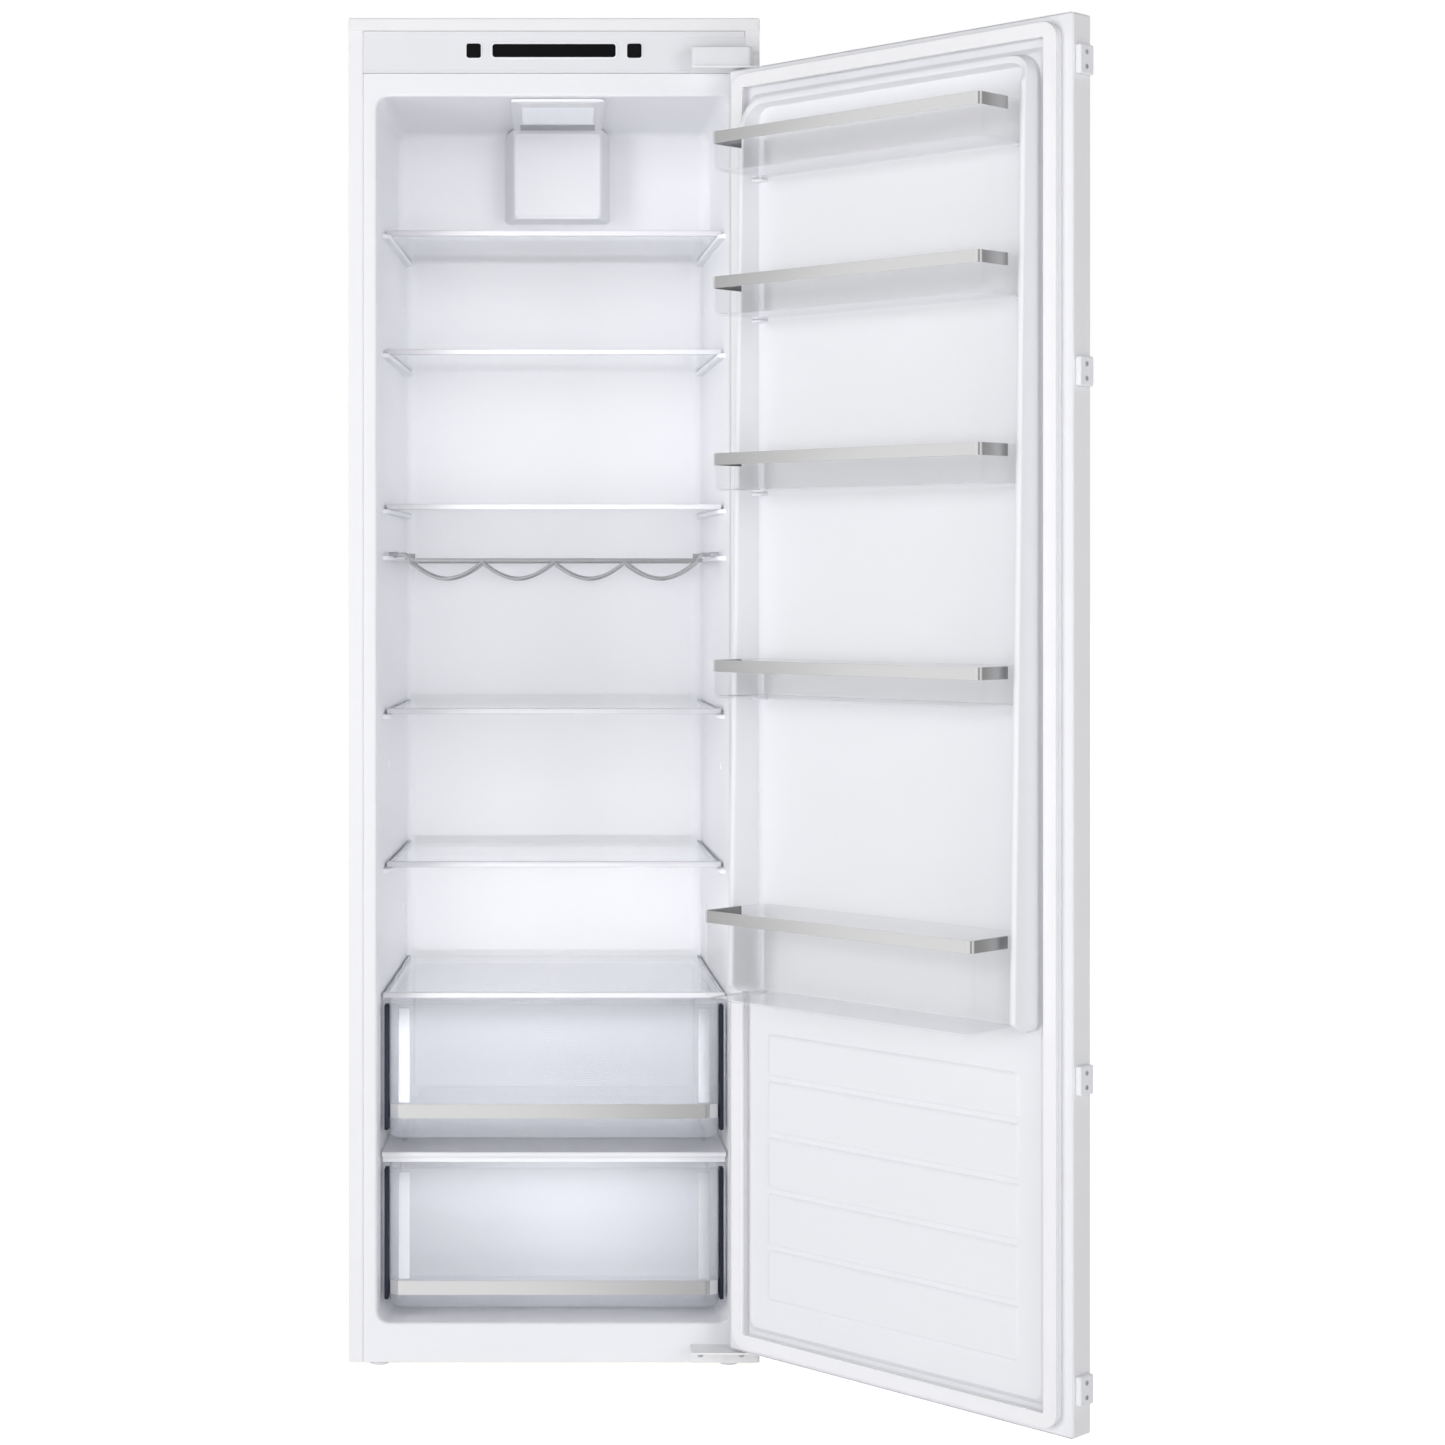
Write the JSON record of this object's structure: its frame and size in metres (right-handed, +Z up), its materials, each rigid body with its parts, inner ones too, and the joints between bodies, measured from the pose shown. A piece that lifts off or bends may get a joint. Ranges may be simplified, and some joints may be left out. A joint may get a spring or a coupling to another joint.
{
  "type": "built-in refrigerator",
  "caption": "Tall built-in larder refrigerator with a right-hinged door standing open, glass shelves, a wire rack, drawers and door bins.",
  "frame": {"origin": "middle of the underside of the cabinet, on the floor, halfway between the cabinet's front and back", "axes": "+Z up; -Y out of the front of the cabinet, towards the viewer; +X to the viewer's right, where the door's hinges are"},
  "size_m": [0.9012, 0.9478, 1.77],
  "materials": {
    "painted_sheet": "satin white enamel on sheet steel",
    "white_plastic": "smooth white moulded plastic",
    "zinc_steel": "zinc plated sheet steel",
    "silver_trim": "satin silver strip",
    "chrome_wire": "bright chrome wire",
    "shelf_glass": "clear toughened glass",
    "clear_plastic": "clear moulded polystyrene",
    "display_black": "glossy black window",
    "key_black": "black push key",
    "foam_fill": "rigid insulating foam",
    "seal_rubber": "soft white seal",
    "black_steel": "black enamel",
    "dark_plastic": "dark moulded plastic",
    "circuit_board": "green circuit board",
    "bare_aluminium": "bare fins",
    "frosted_lens": "frosted lamp lens"
  },
  "bodies": {
    "cabinet": {"side_panel_left": "painted_sheet", "side_panel_right": "painted_sheet", "top_panel": "painted_sheet", "top_fixing_strip": "painted_sheet", "base_plate": "zinc_steel", "back_panel": "zinc_steel", "inner_liner": "white_plastic", "cabinet_foam": "foam_fill", "control_fascia": "white_plastic", "display_window": "display_black", "control_board": "circuit_board", "upper_hinge_bracket": "zinc_steel", "upper_hinge_cover": "white_plastic", "lower_hinge_bracket": "zinc_steel", "duct_housing": "white_plastic", "duct_cover": "white_plastic", "lamp_lens": "frosted_lens", "fan_motor": "dark_plastic", "evaporator": "bare_aluminium", "compressor": "black_steel", "evaporating_tray": "dark_plastic", "condenser_coil": "black_steel", "mains_gland": "dark_plastic", "drawer_divider": "white_plastic"},
    "door": {"door_skin": "painted_sheet", "door_foam": "foam_fill", "door_liner": "white_plastic", "door_gasket": "seal_rubber", "hinge_bush_lower": "dark_plastic", "hinge_bush_upper": "dark_plastic", "slide_bracket_1": "white_plastic", "slide_bracket_2": "white_plastic", "slide_bracket_3": "white_plastic", "slide_bracket_4": "white_plastic"},
    "shelf_1": {"shelf_1": "shelf_glass"},
    "shelf_2": {"shelf_2": "shelf_glass"},
    "shelf_3": {"shelf_3": "shelf_glass"},
    "shelf_4": {"shelf_4": "shelf_glass"},
    "shelf_5": {"shelf_5": "shelf_glass"},
    "wine_rack": {"wine_rack": "chrome_wire"},
    "crisper_cover": {"crisper_cover": "shelf_glass"},
    "upper_drawer": {"upper_drawer": "clear_plastic", "upper_drawer_strip": "silver_trim"},
    "lower_drawer": {"lower_drawer": "clear_plastic", "lower_drawer_strip": "silver_trim"},
    "door_bin_1": {"door_bin_1": "clear_plastic", "door_bin_1_strip": "silver_trim"},
    "door_bin_2": {"door_bin_2": "clear_plastic", "door_bin_2_strip": "silver_trim"},
    "door_bin_3": {"door_bin_3": "clear_plastic", "door_bin_3_strip": "silver_trim"},
    "door_bin_4": {"door_bin_4": "clear_plastic", "door_bin_4_strip": "silver_trim"},
    "door_bin_5": {"door_bin_5": "clear_plastic", "door_bin_5_strip": "silver_trim"},
    "key_left": {"key_left": "key_black"},
    "key_right": {"key_right": "key_black"},
    "fan": {"fan_rotor": "dark_plastic"},
    "foot_left": {"foot_left": "dark_plastic"},
    "foot_right": {"foot_right": "dark_plastic"}
  },
  "joints": [
    {"name": "door_hinge", "type": "hinge", "parent": "cabinet", "child": "door", "pos_m": [0.252, -0.2773, 0.863], "axis": [0, 0, 1], "range_deg": [-134.2, 5.8]},
    {"name": "shelf_1_slide", "type": "slide", "parent": "cabinet", "child": "shelf_1", "axis": [0, -1, 0], "range_m": [0, 0.18]},
    {"name": "shelf_2_slide", "type": "slide", "parent": "cabinet", "child": "shelf_2", "axis": [0, -1, 0], "range_m": [0, 0.18]},
    {"name": "shelf_3_slide", "type": "slide", "parent": "cabinet", "child": "shelf_3", "axis": [0, -1, 0], "range_m": [0, 0.18]},
    {"name": "shelf_4_slide", "type": "slide", "parent": "cabinet", "child": "shelf_4", "axis": [0, -1, 0], "range_m": [0, 0.18]},
    {"name": "shelf_5_slide", "type": "slide", "parent": "cabinet", "child": "shelf_5", "axis": [0, -1, 0], "range_m": [0, 0.18]},
    {"name": "wine_rack_slide", "type": "slide", "parent": "cabinet", "child": "wine_rack", "axis": [0, -1, 0], "range_m": [0, 0.18]},
    {"name": "crisper_cover_slide", "type": "slide", "parent": "cabinet", "child": "crisper_cover", "axis": [0, -1, 0], "range_m": [0, 0.18]},
    {"name": "upper_drawer_slide", "type": "slide", "parent": "cabinet", "child": "upper_drawer", "axis": [0, -1, 0], "range_m": [0, 0.25]},
    {"name": "lower_drawer_slide", "type": "slide", "parent": "cabinet", "child": "lower_drawer", "axis": [0, -1, 0], "range_m": [0, 0.13]},
    {"name": "bin_1_lift", "type": "slide", "parent": "door", "child": "door_bin_1", "axis": [0, 0, 1], "range_m": [0, 0.02]},
    {"name": "bin_2_lift", "type": "slide", "parent": "door", "child": "door_bin_2", "axis": [0, 0, 1], "range_m": [0, 0.03]},
    {"name": "bin_3_lift", "type": "slide", "parent": "door", "child": "door_bin_3", "axis": [0, 0, 1], "range_m": [0, 0.03]},
    {"name": "bin_4_lift", "type": "slide", "parent": "door", "child": "door_bin_4", "axis": [0, 0, 1], "range_m": [0, 0.03]},
    {"name": "bin_5_lift", "type": "slide", "parent": "door", "child": "door_bin_5", "axis": [0, 0, 1], "range_m": [0, 0.03]},
    {"name": "key_left_press", "type": "slide", "parent": "cabinet", "child": "key_left", "axis": [0, 1, 0], "range_m": [0, 0.0008], "stiffness_N_per_m": 900},
    {"name": "key_right_press", "type": "slide", "parent": "cabinet", "child": "key_right", "axis": [0, 1, 0], "range_m": [0, 0.0008], "stiffness_N_per_m": 900},
    {"name": "fan_spin", "type": "hinge", "parent": "cabinet", "child": "fan", "pos_m": [0.005, 0.017, 1.5997], "axis": [0, 1, 0], "continuous": true},
    {"name": "foot_left_level", "type": "slide", "parent": "cabinet", "child": "foot_left", "axis": [0, 0, -1], "range_m": [0, 0.012]},
    {"name": "foot_right_level", "type": "slide", "parent": "cabinet", "child": "foot_right", "axis": [0, 0, -1], "range_m": [0, 0.012]}
  ]
}
